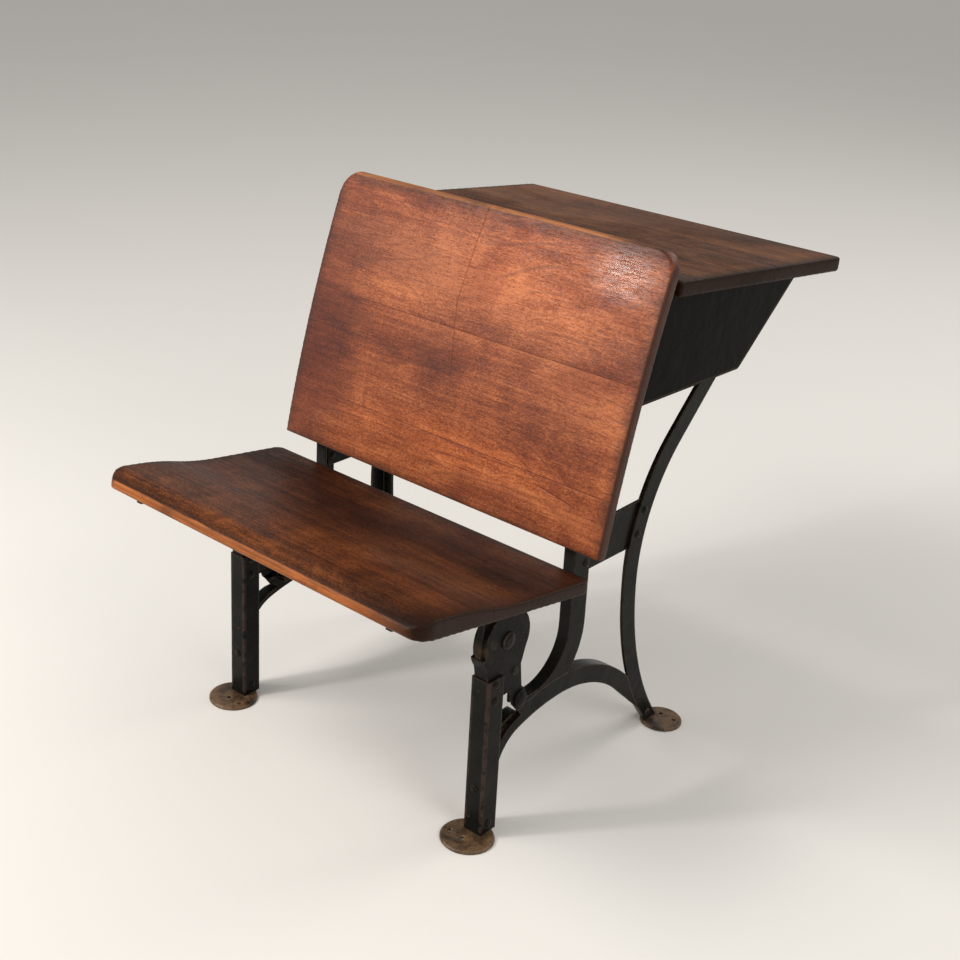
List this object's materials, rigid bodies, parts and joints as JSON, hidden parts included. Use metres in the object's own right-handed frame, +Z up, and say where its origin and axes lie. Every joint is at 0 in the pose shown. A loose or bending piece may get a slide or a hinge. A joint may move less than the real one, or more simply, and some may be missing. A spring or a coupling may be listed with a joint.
{
  "type": "school desk with lift lid",
  "caption": "Old school desk: folding wooden seat and curved backrest in front, book box with lifting lid behind, on two black steel side frames with round feet.",
  "frame": {"origin": "on the floor, at the centre of the object's bounding box seen from above", "axes": "+X to the right of someone who faces the seat, +Y from the seat towards the lid, +Z up"},
  "size_m": [0.533, 0.848, 0.7021],
  "materials": {
    "seat_wood": "worn varnish",
    "back_wood": "satin varnish",
    "lid_wood": "dull varnish",
    "black_steel": "black enamel, worn at the edges",
    "castings": "black enamel over cast iron, worn and rusty",
    "fasteners": "dull steel",
    "hinges": "dull steel"
  },
  "bodies": {
    "frame": {"arch_rivets": "fasteners", "backrest_board": "back_wood", "backrest_screws": "fasteners", "book_box_tray": "black_steel", "boss_rivets": "fasteners", "box_bolts": "fasteners", "box_end_rivets": "fasteners", "box_nuts": "fasteners", "bracket_rivets": "fasteners", "hinge_rivets": "fasteners", "left_arch_brace": "black_steel", "left_back_upright": "black_steel", "left_box_end": "black_steel", "left_box_rail": "black_steel", "left_front_foot": "castings", "left_front_leg": "black_steel", "left_hinge_bolt": "fasteners", "left_hinge_bracket": "castings", "left_hinge_nut": "fasteners", "left_lid_hinge_pin": "fasteners", "left_lid_hinge_plate": "hinges", "left_link_plate": "black_steel", "left_rear_foot": "castings", "left_rear_leg": "black_steel", "leg_rivets": "fasteners", "link_rivets": "fasteners", "rail_rivets": "fasteners", "rear_foot_rivets": "fasteners", "right_arch_brace": "black_steel", "right_back_upright": "black_steel", "right_box_end": "black_steel", "right_box_rail": "black_steel", "right_front_foot": "castings", "right_front_leg": "black_steel", "right_hinge_bolt": "fasteners", "right_hinge_bracket": "castings", "right_hinge_nut": "fasteners", "right_lid_hinge_pin": "fasteners", "right_lid_hinge_plate": "hinges", "right_link_plate": "black_steel", "right_rear_foot": "castings", "right_rear_leg": "black_steel"},
    "seat": {"seat_board": "seat_wood", "left_seat_arm": "black_steel", "right_seat_arm": "black_steel", "seat_screws": "fasteners"},
    "lid": {"lid_board": "lid_wood", "left_lid_hinge_leaf": "hinges", "right_lid_hinge_leaf": "hinges", "lid_screws": "fasteners"}
  },
  "joints": [
    {"name": "seat_fold", "type": "hinge", "parent": "frame", "child": "seat", "pos_m": [0, -0.21013, 0.262], "axis": [-1, 0, 0], "range_deg": [0, 82]},
    {"name": "lid_lift", "type": "hinge", "parent": "frame", "child": "lid", "pos_m": [0, 0.03487, 0.6377], "axis": [1, 0, 0], "range_deg": [0, 70]}
  ]
}
